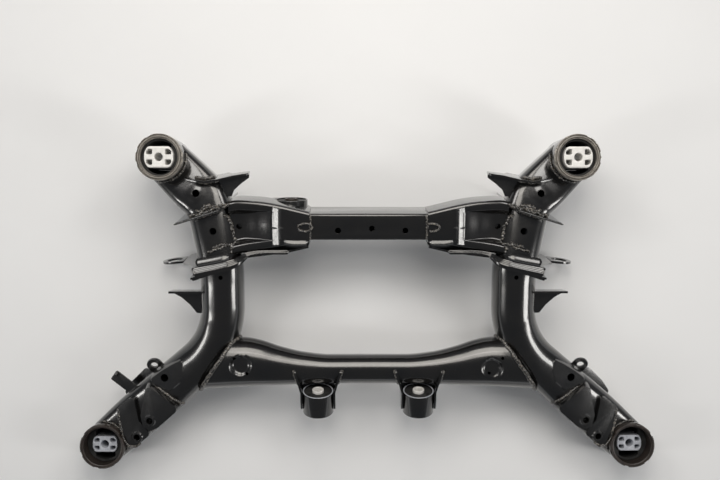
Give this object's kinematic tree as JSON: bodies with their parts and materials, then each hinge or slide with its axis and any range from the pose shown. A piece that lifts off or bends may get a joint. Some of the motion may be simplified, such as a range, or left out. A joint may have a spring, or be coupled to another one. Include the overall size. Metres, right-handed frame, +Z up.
{
  "type": "subframe",
  "caption": "Rear axle subframe of a car: bent side tubes joined by a front cross tube and a pressed rear crossmember, on rubber body mounts",
  "frame": {"origin": "midway between the four body mounts, on the plane the part rests on", "axes": "+X across the car, +Y to the rear, +Z up"},
  "size_m": [1.116, 0.64, 0.19],
  "materials": {
    "black_paint": "gloss black dip coat",
    "grey_collar": "dull grey-brown cast",
    "dark_collar": "dark moulded",
    "rubber": "matt",
    "bright_core": "sawn extrusion",
    "dull_core": "dull extrusion"
  },
  "bodies": {
    "root": {"side_member_left": "black_paint", "side_member_right": "black_paint", "front_cross_tube": "black_paint", "rear_box": "black_paint", "rear_shell_left": "black_paint", "rear_shell_right": "black_paint", "rear_arm_plate_left": "black_paint", "rear_arm_plate_right": "black_paint", "front_arm_plate_left": "black_paint", "front_arm_plate_right": "black_paint", "lower_sheet_left": "black_paint", "lower_sheet_right": "black_paint", "upper_bracket_left": "black_paint", "upper_bracket_right": "black_paint", "front_eye_left": "black_paint", "front_eye_right": "black_paint", "rear_eye_left": "black_paint", "rear_eye_right": "black_paint", "rear_collar_left": "grey_collar", "rear_collar_right": "grey_collar", "front_collar_left": "dark_collar", "front_collar_right": "dark_collar", "rear_rubber_left": "rubber", "rear_rubber_right": "rubber", "front_rubber_left": "rubber", "front_rubber_right": "rubber", "rear_core_left": "bright_core", "rear_core_right": "bright_core", "front_core_left": "dull_core", "front_core_right": "dull_core", "diff_eye_left": "black_paint", "diff_eye_right": "black_paint", "diff_rubber_left": "rubber", "diff_rubber_right": "rubber", "diff_sleeve_left": "bright_core", "diff_sleeve_right": "bright_core", "diff_saddle_left": "black_paint", "diff_saddle_right": "black_paint", "rear_diff_eye": "black_paint", "rear_diff_rubber": "rubber", "rear_diff_sleeve": "bright_core", "arm_tongue_left": "black_paint", "arm_tongue_right": "black_paint", "arm_foot_left": "black_paint", "arm_foot_right": "black_paint", "arm_ear_left": "black_paint", "arm_ear_right": "black_paint", "arm_flange_left": "black_paint", "arm_flange_right": "black_paint", "cable_tab": "black_paint", "ring_tab_left": "black_paint", "ring_tab_right": "black_paint", "side_bracket_left": "black_paint", "side_bracket_right": "black_paint"}
  },
  "joints": []
}
